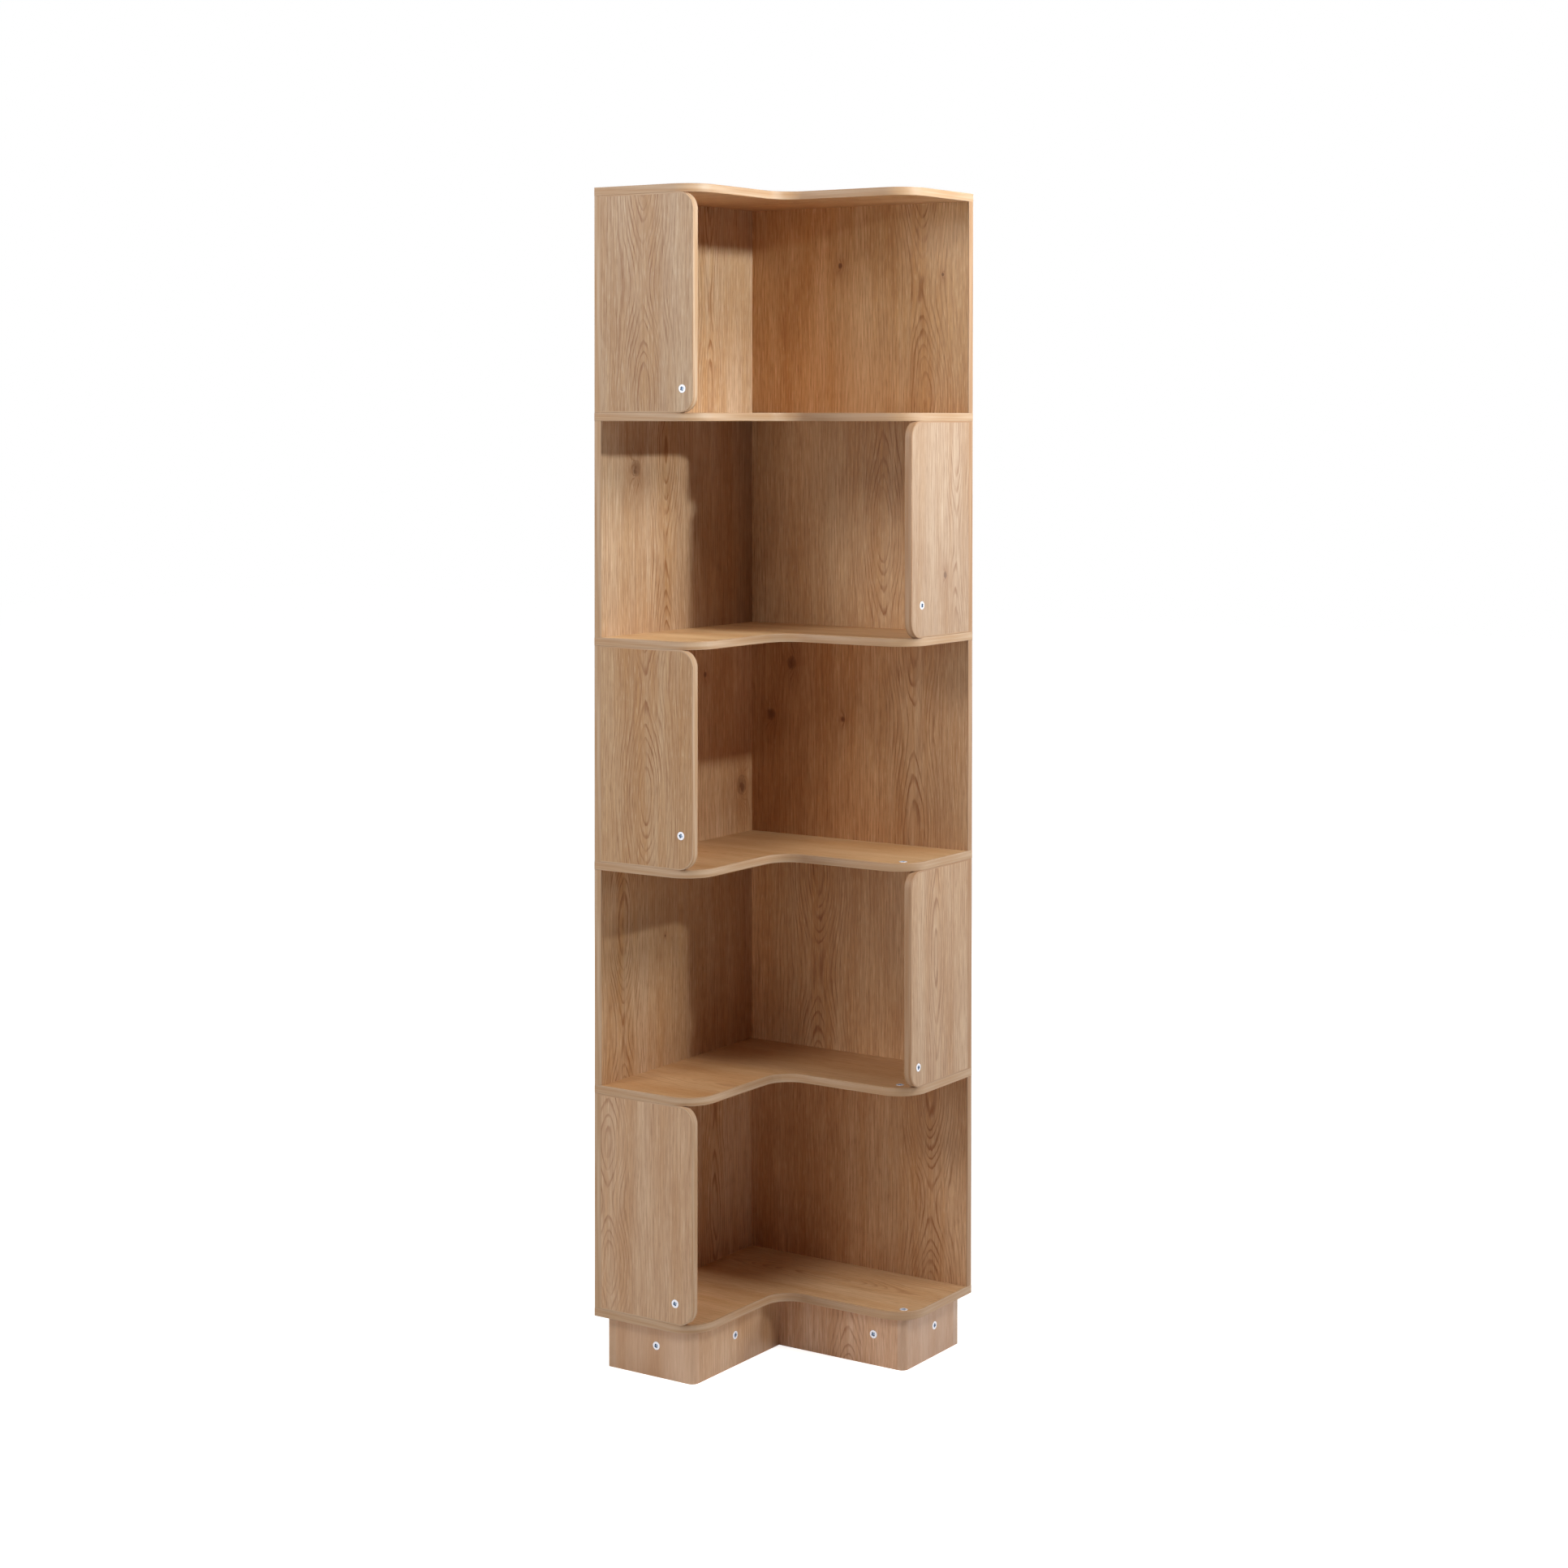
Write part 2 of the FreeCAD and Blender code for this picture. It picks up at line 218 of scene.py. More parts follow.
def buildOakPrint(look):
    # The printed oak of the melamine paper, in mm. The rings are level lines of
    # sqrt(a^2 + w^2) - swell * cos(2 pi (b - oval) / length) * exp(-(a / reach)^2) + waves + humps at knots,
    # where a runs across from the heart line and b along the grain. Streaks, fibres and pores are noise drawn
    # out along the grain. A band of painted light makes the print paler by lift * exp(-((across - centre) /
    # width)^2);
    # where lift is below zero the same band is painted shade and makes it darker.
    tree = bpy.data.node_groups.new("oakPrint", "ShaderNodeTree")
    for name in printNumbers:
        tree.interface.new_socket(name, in_out="INPUT", socket_type="NodeSocketFloat")
    for name in printPlaces:
        tree.interface.new_socket(name, in_out="INPUT", socket_type="NodeSocketVector")
    tree.interface.new_socket("Tint", in_out="INPUT", socket_type="NodeSocketColor")
    tree.interface.new_socket("Colour", in_out="OUTPUT", socket_type="NodeSocketColor")
    tree.interface.new_socket("Pores", in_out="OUTPUT", socket_type="NodeSocketFloat")
    given = addNode(tree, "NodeGroupInput").outputs
    layer = addNode(tree, "Math", [given["Depth"], look["layerDrift"], given["Seed"]],
                    operation="MULTIPLY_ADD")
    place = addNode(tree, "CombineXYZ", [given["Across"], given["Along"], layer])

    def waves(pattern, source=place):
        # Noise about zero, of that pattern's size.
        width, length, detail = look["patterns"][pattern]
        size = (1 / width, 1 / length, 1)
        stretched = addNode(tree, "VectorMath", [source, size], operation="MULTIPLY")
        noise = addNode(tree, "TexNoise", {"Vector": stretched, "Scale": 1.0, "Detail": detail,
                                           "Roughness": 0.5})
        return addNode(tree, "Math", [noise, 0.5], operation="SUBTRACT")

    def addKnot(knot, ragged, rings, bark, stain):
        # A ragged dark oval with a darker rim and core, in a stain of warmer wood, over which the rings hump.
        squares = []
        for coordinate, centre, stretch in (("Across", 0, "knotWidth"), ("Along", 1, "knotLength")):
            offset = addNode(tree, "Math", [given[coordinate], knot[centre]], operation="SUBTRACT")
            radius = addNode(tree, "Math", [knot[2], look[stretch]], operation="MULTIPLY")
            ratio = addNode(tree, "Math", [offset, radius], operation="DIVIDE")
            squares.append(addNode(tree, "Math", [ratio, ratio], operation="MULTIPLY"))
        distance = addNode(tree, "Math", squares, operation="ADD")
        hump = addNode(tree, "Math", [addNode(tree, "Math", [distance, -1.0], operation="MULTIPLY")],
                       operation="EXPONENT")
        height = addNode(tree, "Math", [knot[2], look["knotLift"]], operation="MULTIPLY")
        rings = addNode(tree, "Math", [hump, height, rings], operation="MULTIPLY_ADD")
        shape = addNode(tree, "Math", [squares[0], look["barkAcross"]], operation="MULTIPLY")
        shape = addNode(tree, "Math", [squares[1], look["barkAlong"], shape], operation="MULTIPLY_ADD")
        shape = addNode(tree, "Math", [ragged, look["knotRagged"], shape], operation="MULTIPLY_ADD")
        wide = addNode(tree, "Math", [distance, -look["stainSpread"]], operation="MULTIPLY")
        wide = addNode(tree, "Math", [wide], operation="EXPONENT")
        stain = addNode(tree, "Math", [wide, stain], operation="MAXIMUM")
        solid = addNode(tree, "Math", [look["solidKnot"], knot[2]], operation="DIVIDE", use_clamp=True)
        inside = addNode(tree, "MapRange", [shape, 0.2, 1.3, solid, 0.0], interpolation_type="SMOOTHSTEP")
        core = addNode(tree, "MapRange", [shape, 0.0, 0.3, 1.0, 0.0], interpolation_type="SMOOTHSTEP")
        offRim = addNode(tree, "Math", [addNode(tree, "Math", [shape, 0.8], operation="SUBTRACT")],
                         operation="ABSOLUTE")
        rim = addNode(tree, "MapRange", [offRim, 0.0, 0.4, 0.5, 0.0], interpolation_type="SMOOTHSTEP")
        for mask in (inside, core, rim):
            bark = addNode(tree, "Math", [mask, bark], operation="MAXIMUM")
        return rings, bark, stain

    # Rings: straight away from the heart line, arched and oval beside it
    fromHeart = addNode(tree, "Math", [given["Across"], given["Heart"]], operation="SUBTRACT")
    across = addNode(tree, "Math", [waves("wander"), look["wander"], fromHeart], operation="MULTIPLY_ADD")
    squared = addNode(tree, "Math", [across, across, look["heartWidth"] ** 2], operation="MULTIPLY_ADD")
    straight = addNode(tree, "Math", [squared], operation="SQRT")
    fromOval = addNode(tree, "Math", [given["Along"], given["Oval"]], operation="SUBTRACT")
    turns = addNode(tree, "Math", [fromOval, given["Length"]], operation="DIVIDE")
    wave = addNode(tree, "Math", [addNode(tree, "Math", [turns, 2 * math.pi], operation="MULTIPLY")],
                   operation="COSINE")
    away = addNode(tree, "Math", [squared, -1 / look["figureReach"] ** 2], operation="MULTIPLY")
    nearHeart = addNode(tree, "Math", [away], operation="EXPONENT")
    swell = addNode(tree, "Math", [wave, given["Swell"]], operation="MULTIPLY")
    swell = addNode(tree, "Math", [swell, nearHeart], operation="MULTIPLY")
    arches = addNode(tree, "Math", [straight, swell], operation="SUBTRACT")
    rings = addNode(tree, "Math", [waves("unrest"), look["unrest"], arches], operation="MULTIPLY_ADD")
    bark = stain = 0.0
    ragged = waves("knotEdge")
    for name in printPlaces[:3]:
        knot = addNode(tree, "SeparateXYZ", [given[name]]).outputs
        rings, bark, stain = addKnot(knot, ragged, rings, bark, stain)

    # Lines: one for each ring, dark late in its year, which fade in and out. Rise and fall are in parts of a
    # year; the bounds of every other range below are noise about zero.
    tattered = addNode(tree, "Math", [waves("ragged"), look["ragged"], rings], operation="MULTIPLY_ADD")
    cycles = addNode(tree, "Math", [tattered, look["ringSpacing"]], operation="DIVIDE")
    years = addNode(tree, "CombineXYZ", [rings, 0.0, given["Seed"]])
    uneven = addNode(tree, "Math", [waves("years", years), 2 * look["unevenYears"], cycles],
                     operation="MULTIPLY_ADD")
    ring = addNode(tree, "Math", [uneven], operation="FRACT")
    rise = addNode(tree, "MapRange", [ring, 0.5, 0.85, 0.0, 1.0], interpolation_type="SMOOTHSTEP")
    fall = addNode(tree, "MapRange", [ring, 0.88, 1.0, 1.0, 0.0], interpolation_type="SMOOTHSTEP")
    drawn = addNode(tree, "MapRange", [waves("fading"), -0.16, 0.12, 0.15, 1.0])
    figured = addNode(tree, "Math", [nearHeart, 1 - look["straightLines"], look["straightLines"]],
                      operation="MULTIPLY_ADD")
    figured = addNode(tree, "Math", [figured, stain], operation="MAXIMUM")
    lines = addNode(tree, "Math", [addNode(tree, "Math", [rise, fall], operation="MULTIPLY"),
                                   addNode(tree, "Math", [drawn, figured], operation="MULTIPLY")],
                    operation="MULTIPLY")

    # Streaks, fibres and pores, and pale flecks between the pores
    streaks = addNode(tree, "MapRange", [waves("streaks"), -0.16, 0.16, 0.0, 1.0])
    fibres = addNode(tree, "MapRange", [waves("fibres"), -0.18, 0.18, 0.0, 1.0])
    dashes = waves("pores")
    pores = addNode(tree, "MapRange", [dashes, 0.05, 0.2, 0.0, 1.0], interpolation_type="SMOOTHSTEP")
    alongLines = addNode(tree, "Math", [lines, 0.6, 0.4], operation="MULTIPLY_ADD")
    pores = addNode(tree, "Math", [pores, alongLines], operation="MULTIPLY")
    flecks = addNode(tree, "MapRange", [dashes, -0.06, -0.2, 0.0, 1.0], interpolation_type="SMOOTHSTEP")

    # Colours, laid over each other in this order
    tone = addNode(tree, "MapRange", [waves("tone"), -0.16, 0.16, 0.0, 1.0])
    ground = addNode(tree, "Mix", {0: tone, 6: linear(look["pale"]), 7: linear(look["tan"])},
                     data_type="RGBA")
    warm = addNode(tree, "MapRange", [waves("warmth"), -0.12, 0.18, 0.0, 1.0])
    towardsHeart = addNode(tree, "Math", [nearHeart, 0.6, 0.4], operation="MULTIPLY_ADD")
    warm = addNode(tree, "Math", [warm, towardsHeart], operation="MULTIPLY")
    colour = ground
    for mask, share, tint in ((warm, "amberShare", "amber"), (stain, "stainShare", "line"),
                              (streaks, "streakShare", "line"), (flecks, "fleckShare", "fleck"),
                              (lines, "lineShare", "line"), (fibres, "fibreShare", "line"),
                              (pores, "poreShare", "pore"), (bark, "knotShare", "knot")):
        amount = addNode(tree, "Math", [mask, look[share]], operation="MULTIPLY", use_clamp=True)
        colour = addNode(tree, "Mix", {0: amount, 6: colour, 7: linear(look[tint])}, data_type="RGBA")
    colour = addNode(tree, "Mix", {0: given["Strength"], 6: ground, 7: colour}, data_type="RGBA")
    # Painted light and shade: a band across the panel, paler where lift is above zero and darker below it.
    centre, width, lift = addNode(tree, "SeparateXYZ", [given["PaintedLight"]]).outputs
    off = addNode(tree, "Math", [given["Across"], centre], operation="SUBTRACT")
    off = addNode(tree, "Math", [off, width], operation="DIVIDE")
    off = addNode(tree, "Math", [addNode(tree, "Math", [off, off], operation="MULTIPLY"), -1.0],
                  operation="MULTIPLY")
    paintedLightFactor = addNode(tree, "Math", [addNode(tree, "Math", [off], operation="EXPONENT"), lift, 1.0],
                    operation="MULTIPLY_ADD")
    colour = addNode(tree, "VectorMath", {0: colour, 3: paintedLightFactor}, operation="SCALE")
    colour = addNode(tree, "Mix", {0: 1.0, 6: colour, 7: given["Tint"]}, data_type="RGBA",
                     blend_type="MULTIPLY")
    addNode(tree, "NodeGroupOutput", [colour, pores])
    return tree


oakTree = buildOakPrint(oakPrint)

# Each panel is cut from another place of the printed paper. The heart is the line of the arches, in mm from
# the room's corner, oval the height of an oval figure above the floor, length the distance to the next oval
# and swell how far the rings bulge there. Knots are (from the corner, height, size). The band given as
# (from the corner, half its width, how much paler) is painted light, and painted shade where it is below
# zero, laid where light or shade falls on the panel. Strength is how much of the
# grain the paper shows over its ground colour.
# Tint multiplies a panel's print. It holds the panel's own tone and painted light and shade, as each tint was
# matched to how bright and warm its panel looks under its light.
figures = {
    "left_back_panel_1": {"tint": "#F6F4F0", "heart": 128, "oval": 1400, "swell": 7},
    "left_back_panel_2": {"tint": "#EDE7E2", "heart": 240, "oval": 1335, "length": 310,
                          "paintedLight": (20, 40, -0.3), "knots": [(315, 1306, 11), (318, 1301, 4)]},
    "left_back_panel_3": {"tint": "#FBEADA", "heart": 210, "oval": 900,
                          "knots": [(139, 989, 4), (41, 811, 13), (38, 806, 7)]},
    "left_back_panel_4": {"tint": "#F5EADD", "heart": 347, "oval": 640, "length": 320, "swell": 18,
                          "paintedLight": (20, 40, -0.14), "knots": [(242, 606, 2)]},
    "left_back_panel_5": {"tint": "#FFF3E8", "heart": 112, "oval": 165, "length": 330, "swell": 8},
    "right_back_panel_1": {"tint": "#FBF1DA", "heart": 322, "oval": 1400, "length": 350, "swell": 16,
                           "paintedLight": (130, 50, 0.14), "knots": [(174, 1611, 4), (355, 1593, 2.5)]},
    "right_back_panel_2": {"tint": "#EFE2CB", "heart": 253, "oval": 1216, "length": 330,
                           "paintedLight": (100, 40, 0.13)},
    "right_back_panel_3": {"tint": "#E3D3BE", "heart": 305, "oval": 750, "length": 320,
                           "paintedLight": (205, 95, 0.34), "knots": [(86, 1002, 9), (48, 920, 8), (180, 920, 4)]},
    "right_back_panel_4": {"tint": "#F6E2C8", "heart": 134, "oval": 690, "length": 330, "swell": 18,
                           "paintedLight": (20, 35, 0.25)},
    "right_back_panel_5": {"tint": "#EEDBC7", "heart": 337, "oval": 370, "length": 340, "swell": 22,
                           "paintedLight": (200, 85, 0.18)},
    "end_panel_1": {"tint": "#DFD9D3", "heart": 88, "oval": 1405, "length": 335, "swell": 16},
    "end_panel_2": {"tint": "#D3CCCA", "heart": 50, "oval": 1350, "length": 300, "swell": 8,
                    "strength": 0.85, "knots": [(80, 1150, 5)]},
    "end_panel_3": {"tint": "#DFD2C1", "heart": 92, "oval": 837, "length": 306, "swell": 15},
    "end_panel_4": {"tint": "#DDD2C8", "heart": 103, "oval": 590, "length": 320, "swell": 8,
                    "strength": 0.9},
    "end_panel_5": {"tint": "#E7DAD0", "heart": 26, "oval": 335, "length": 178, "swell": 9,
                    "strength": 0.85},
    "shelf_board_1": {"tint": "#F2DDC3", "strength": 0.8},
    "shelf_board_2": {"tint": "#FCEED3", "strength": 0.6},
    "shelf_board_3": {"tint": "#E9DAC1", "strength": 0.6},
    "shelf_board_4": {"tint": "#E3CDB1", "strength": 0.6},
    "bottom_board": {"tint": "#EBDCC6", "heart": 85, "oval": 190, "length": 380, "swell": 14,
                     "strength": 0.7, "paintedLight": (310, 110, 0.2)},
    "plinth_end_left": {"tint": "#E8DAD5", "heart": -200, "strength": 0.35},
    "plinth_end_right": {"tint": "#E6DADB", "heart": -200, "strength": 0.45},
    "plinth_rear_left": {"tint": "#E2D6D1", "heart": -200, "strength": 0.35},
    "plinth_rear_right": {"tint": "#E4DCDF", "heart": -200, "strength": 0.45},
    "plinth_front_left": {"tint": "#ECE0D7", "heart": -200, "strength": 0.7},
    "plinth_front_right": {"tint": "#F6E6E0", "heart": 290, "oval": -60, "length": 300, "swell": 16},
}
plainFigure = {"length": 330, "swell": 12, "knots": [], "paintedLight": (0, 1, 0), "strength": 1.0,
               "tint": "#EDE1CD"}
noKnot = (-900, 0, 5)  # past the panel's edge
inlandAxes = {  # object coordinates to mm: from the corner, up the panel, through the sheet
    "facesX": ((0, -1, 0), (0, 0, 1), (1, 0, 0)),
    "facesY": ((1, 0, 0), (0, 0, 1), (0, 1, 0)),
    "lies": ((0, -1, 0), (1, 0, 0), (0, 0, 1)),  # boards: the grain runs along the rear wall
}
melamine = {
    "cutApart": 17.3,         # how far apart in the noise two neighbouring numbers are cut
    "roughness": 0.46, "poreRoughness": 0.15, "ior": 1.5,
    "poreDepth": 0.08 * mm, "poreRelief": 0.5,
    "chipSize": 2.2 * mm, "chipDark": "#AB7F55", "chipPale": "#DAB48B",
    "facedAbove": 0.05,       # cosine between a face and the sheet under which the face is a sawn edge
}


def oakMelamine(node, axes, seed, look):
    # Chipboard faced with melamine paper, printed with oak and pressed against a lightly grained plate: the
    # print gives a straight and arched oak figure, the plate a satin gloss that breaks up in shallow pores.
    # Faces square to the sheet are its sawn edges and show the chips; the plinth's are covered.
    spread = {"heart": 90 + 61 * seed % 220, "oval": 140 + 97 * seed % 300}  # for boards with no place named
    figure = spread | plainFigure | figures.get(node, {})
    material, tree, shader = newMaterial(f"oakMelamine_{node}")
    place = addNode(tree, "TexCoord").outputs["Object"]
    inputs = {"Heart": figure["heart"], "Oval": figure["oval"], "Length": figure["length"],
              "Swell": figure["swell"], "Seed": look["cutApart"] * seed, "Strength": figure["strength"],
              "PaintedLight": figure["paintedLight"], "Tint": linear(figure["tint"])}
    shift = (-leftWall, rearWall, 0)
    for name, axis in zip(("Across", "Along", "Depth"), inlandAxes[axes]):
        way = tuple(part / mm for part in axis)
        inland = sum(abs(part) * offset for part, offset in zip(axis, shift)) / mm
        reach = addNode(tree, "VectorMath", [place, way], operation="DOT_PRODUCT")
        inputs[name] = addNode(tree, "Math", [reach, inland], operation="ADD")
    for name, knot in zip(printPlaces[:3], figure["knots"] + [noKnot] * 3):
        inputs[name] = knot
    grain = addNode(tree, "Group", node_tree=oakTree)
    for name, value in inputs.items():
        if isinstance(value, bpy.types.Node):
            tree.links.new(value.outputs[0], grain.inputs[name])
        else:
            grain.inputs[name].default_value = value
    pores = grain.outputs["Pores"]
    normal = addNode(tree, "NewGeometry").outputs["True Normal"]
    turned = addNode(tree, "VectorMath", [normal, inlandAxes[axes][2]], operation="DOT_PRODUCT")
    facedAbove = -1.0 if node.startswith("plinth") else look["facedAbove"]
    faced = addNode(tree, "Math", [addNode(tree, "Math", [turned], operation="ABSOLUTE"), facedAbove],
                    operation="GREATER_THAN")
    chips = addNode(tree, "TexVoronoi", {"Vector": place, "Scale": 1 / look["chipSize"]}).outputs["Color"]
    sawn = addNode(tree, "Mix", {0: chips, 6: linear(look["chipDark"]), 7: linear(look["chipPale"])},
                   data_type="RGBA")
    colour = addNode(tree, "Mix", {0: faced, 6: sawn, 7: grain}, data_type="RGBA")
    tree.links.new(colour.outputs[2], shader.inputs["Base Color"])
    gloss = addNode(tree, "Math", [pores, look["poreRoughness"], look["roughness"]], operation="MULTIPLY_ADD")
    tree.links.new(gloss.outputs[0], shader.inputs["Roughness"])
    sunk = addNode(tree, "Math", [pores, -1.0], operation="MULTIPLY")
    relief = addNode(tree, "Bump", {"Height": sunk, "Strength": look["poreRelief"],
                                    "Distance": look["poreDepth"]})
    tree.links.new(relief.outputs[0], shader.inputs["Normal"])
    shader.inputs["IOR"].default_value = look["ior"]
    return material


edgingLook = {
    "pale": "#C09E81", "tan": "#B38A66", "line": "#996E49",
    "toneSize": (6, 160, 1), "lineSize": (1.2, 120, 2),  # mm across the strip, mm along it, finer detail
    "lineShare": 0.3, "roughness": 0.5, "lineRoughness": 0.08, "ior": 1.5,
}


def oakEdging(look, name, tint):
    # ABS edging, extruded and printed with fine straight oak lines that run along it: satin, and plainer than
    # the boards.
    material, tree, shader = newMaterial(name)
    along = addNode(tree, "UVMap", uv_map="alongGrain")

    def streaks(width, length, detail):
        size = (1 / (length * mm), 1 / (width * mm), 1)
        stretched = addNode(tree, "VectorMath", [along, size], operation="MULTIPLY")
        noise = addNode(tree, "TexNoise", {"Vector": stretched, "Scale": 1.0, "Detail": detail})
        return addNode(tree, "MapRange", [noise, 0.38, 0.62, 0.0, 1.0])

    tone = addNode(tree, "Mix", {0: streaks(*look["toneSize"]), 6: linear(look["pale"]),
                                 7: linear(look["tan"])}, data_type="RGBA")
    lines = streaks(*look["lineSize"])
    share = addNode(tree, "Math", [lines, look["lineShare"]], operation="MULTIPLY")
    colour = addNode(tree, "Mix", {0: share, 6: tone, 7: linear(look["line"])}, data_type="RGBA")
    colour = addNode(tree, "Mix", {0: 1.0, 6: colour, 7: linear(tint)}, data_type="RGBA",
                     blend_type="MULTIPLY")
    tree.links.new(colour.outputs[2], shader.inputs["Base Color"])
    gloss = addNode(tree, "Math", [lines, look["lineRoughness"], look["roughness"]],
                    operation="MULTIPLY_ADD")
    tree.links.new(gloss.outputs[0], shader.inputs["Roughness"])
    shader.inputs["IOR"].default_value = look["ior"]
    return material


castSkin = {"gritSize": 0.6 * mm, "gritDepth": 0.05 * mm, "relief": 0.3, "dimmest": 0.86}


def castZinc(look, name, hexColour, roughness):
    # Zinc alloy, die cast and plated: a bright metal, blurred by the fine tumbled skin of the casting.
    material, tree, shader = newMaterial(name)
    grit = addNode(tree, "TexNoise", {"Vector": addNode(tree, "TexCoord").outputs["Object"],
                                      "Scale": 1 / look["gritSize"], "Detail": 2.0})
    dimmed = addNode(tree, "MapRange", [grit, 0.35, 0.65, look["dimmest"], 1.0])
    colour = addNode(tree, "Mix", {0: 1.0, 6: linear(hexColour), 7: dimmed}, data_type="RGBA",
                     blend_type="MULTIPLY")
    tree.links.new(colour.outputs[2], shader.inputs["Base Color"])
    relief = addNode(tree, "Bump", {"Height": grit, "Strength": look["relief"],
                                    "Distance": look["gritDepth"]})
    tree.links.new(relief.outputs[0], shader.inputs["Normal"])
    shader.inputs["Metallic"].default_value = 1.0
    shader.inputs["Roughness"].default_value = roughness
    return material


beech = {"pale": "#DDB88C", "fleck": "#B58455", "fleckLength": 4 * mm, "fleckWidth": 0.5 * mm,
         "roughness": 0.7}


def turnedBeech(look):
    # Beech rod, fluted by rolling: pale pinkish wood with short dark flecks along it and no gloss.
    material, tree, shader = newMaterial("turnedBeech")
    along = addNode(tree, "UVMap", uv_map="alongGrain")
    size = (1 / look["fleckLength"], 1 / look["fleckWidth"], 1)
    stretched = addNode(tree, "VectorMath", [along, size], operation="MULTIPLY")
    noise = addNode(tree, "TexNoise", {"Vector": stretched, "Scale": 1.0})
    flecks = addNode(tree, "MapRange", [noise, 0.5, 0.7, 0.0, 1.0])
    colour = addNode(tree, "Mix", {0: flecks, 6: linear(look["pale"]), 7: linear(look["fleck"])},
                     data_type="RGBA")
    tree.links.new(colour.outputs[2], shader.inputs["Base Color"])
    shader.inputs["Roughness"].default_value = look["roughness"]
    return material


woodNodes = [name for name in nodes if not name.endswith(("band", "bands", "cams", "bolts", "dowels"))]
for seed, name in enumerate(woodNodes):
    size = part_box(name)[1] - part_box(name)[0]
    axes = ("facesX", "facesY", "lies")[min(range(3), key=lambda axis: size[axis])]
    nodes[name].data.materials.clear()
    nodes[name].data.materials.append(oakMelamine(name, axes, seed, melamine))
edgingMaterial = oakEdging(edgingLook, "oakEdging", "#FFFFFF")
paintedShadeEdging = oakEdging(edgingLook, "oakEdgingPaintedShade", "#EBE0D6")  # painted shade: the same edging made darker, on the right-hand pieces
zincMaterial = castZinc(castSkin, "castZinc", "#D6D5DA", 0.7)
# The cams' cross recess gets a darker blue-grey zinc: painted shade in the recess.
recessShadeMaterial = castZinc(castSkin, "castZincPaintedShade", "#8896AA", 0.5)
steelMaterial = castZinc(castSkin, "zincPlatedSteel", "#B9BCC0", 0.3)
beechMaterial = turnedBeech(beech)
print("materials made,", len(bpy.data.materials))


# Edging

edging = {
    "clearDepth": 168 * mm,   # of the boards, from a back panel's face to their front
    "thickness": 2 * mm,
    "arris": 0.6 * mm,        # radius of its two long corners
    "arrisSteps": 4,
    "arcSteps": 14,
    "frontCorner": 45 * mm,   # the boards' outer front corners
    "innerCorner": 40 * mm,   # where the wings meet
    "panelCorner": 25 * mm,   # the end panels' front corners
}


def boardEdging(board):
    # A board's edging runs from the left wall round both wings to the rear wall.
    low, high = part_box(board + "_edge_band")
    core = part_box(board)
    thick = edging["thickness"]
    outer, inner = edging["frontCorner"] - thick, edging["innerCorner"] + thick
    front, side = wingFront - thick, core[1].x
    foot, turned = core[0].y, rearWall - wingFront + thick
    corners = [(low.x, foot, 0), (leftWall + front, foot, outer), (leftWall + front, turned, inner),
               (side, turned, outer), (side, high.y, 0)]
    section = edgingSection(thick, high.z - low.z, edging["arris"], edging["arrisSteps"])
    path = roundedPath(corners, edging["arcSteps"])
    return sweep(path, section, lambda a, b, level: (a, b, low.z + level))


def panelEdging(panel):
    # An end panel's edging runs from its back edge along the foot, up the front and back along the head.
    low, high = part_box(panel + "_edge_band")
    thick = edging["thickness"]
    onLeft = high.x - low.x > high.y - low.y
    start = low.x - leftWall if onLeft else rearWall - high.y
    front = (high.x - leftWall if onLeft else rearWall - low.y) - thick
    radius = edging["panelCorner"] - thick
    corners = [(start, low.z + thick, 0), (front, low.z + thick, radius), (front, high.z - thick, radius),
               (start, high.z - thick, 0)]
    width = high.y - low.y if onLeft else high.x - low.x
    section = edgingSection(thick, width, edging["arris"], edging["arrisSteps"])
    leftSpace = lambda a, b, level: (leftWall + a, low.y + level, b)
    rightSpace = lambda a, b, level: (high.x - level, rearWall - a, b)
    return sweep(roundedPath(corners, edging["arcSteps"]), section, leftSpace if onLeft else rightSpace)


def backEdging(low, high, onLeft):
    # A strip up the free end of one back panel.
    thick = edging["thickness"]
    reach = (rearWall - low[1] if onLeft else high[0] - leftWall) - thick
    width = high[0] - low[0] if onLeft else high[1] - low[1]
    section = edgingSection(thick, width, edging["arris"], edging["arrisSteps"])
    leftSpace = lambda a, b, level: (leftWall + level, rearWall - a, b)
    rightSpace = lambda a, b, level: (leftWall + a, rearWall - level, b)
    path = roundedPath([(reach, low[2], 0), (reach, high[2], 0)], 1)
    return sweep(path, section, leftSpace if onLeft else rightSpace)


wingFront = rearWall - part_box("right_back_panel_1")[0].y + edging["clearDepth"]  # from the wall
for board in boardNames:
    addPiece(board + "_edging", [boardEdging(board)], edgingMaterial, [board + "_edge_band"])
for tier in tierNumbers:
    panel = f"end_panel_{tier}"
    # End panels in the even tiers stand on the right wing and get the edging with painted shade.
    roll = edgingMaterial if tier % 2 else paintedShadeEdging  # odd tiers have theirs on the left wing
    addPiece(panel + "_edging", [panelEdging(panel)], roll, [panel + "_edge_band"])
# The right wing's back panels get the edging with painted shade.
for wing, roll in (("left", edgingMaterial), ("right", paintedShadeEdging)):
    node = f"{wing}_back_edge_bands"
    strips = [backEdging(low, high, wing == "left") for low, high in solidsOf(node)]
    addPiece(f"{wing}_back_edging", strips, roll, [node])
print("edging made")


# Fittings

cam = {
    "rim": 0.35 * mm,          # bevel round the face
    "crown": 0.15 * mm,        # how far the face's middle stands above its rim
    "armWidth": 0.17,          # of the disc's radius, at the bottom of the recess
    "armLength": 0.44,
    "slope": 0.09,             # how much wider and longer the recess is at its mouth
    "recessDepth": 1.8 * mm,
    "plainLines": (0.35, 0.75),  # grid lines that only keep the face's squares even
    "twist": 0.4, "nextTwist": 0.83,  # radians, as the discs were left when they were tightened
}


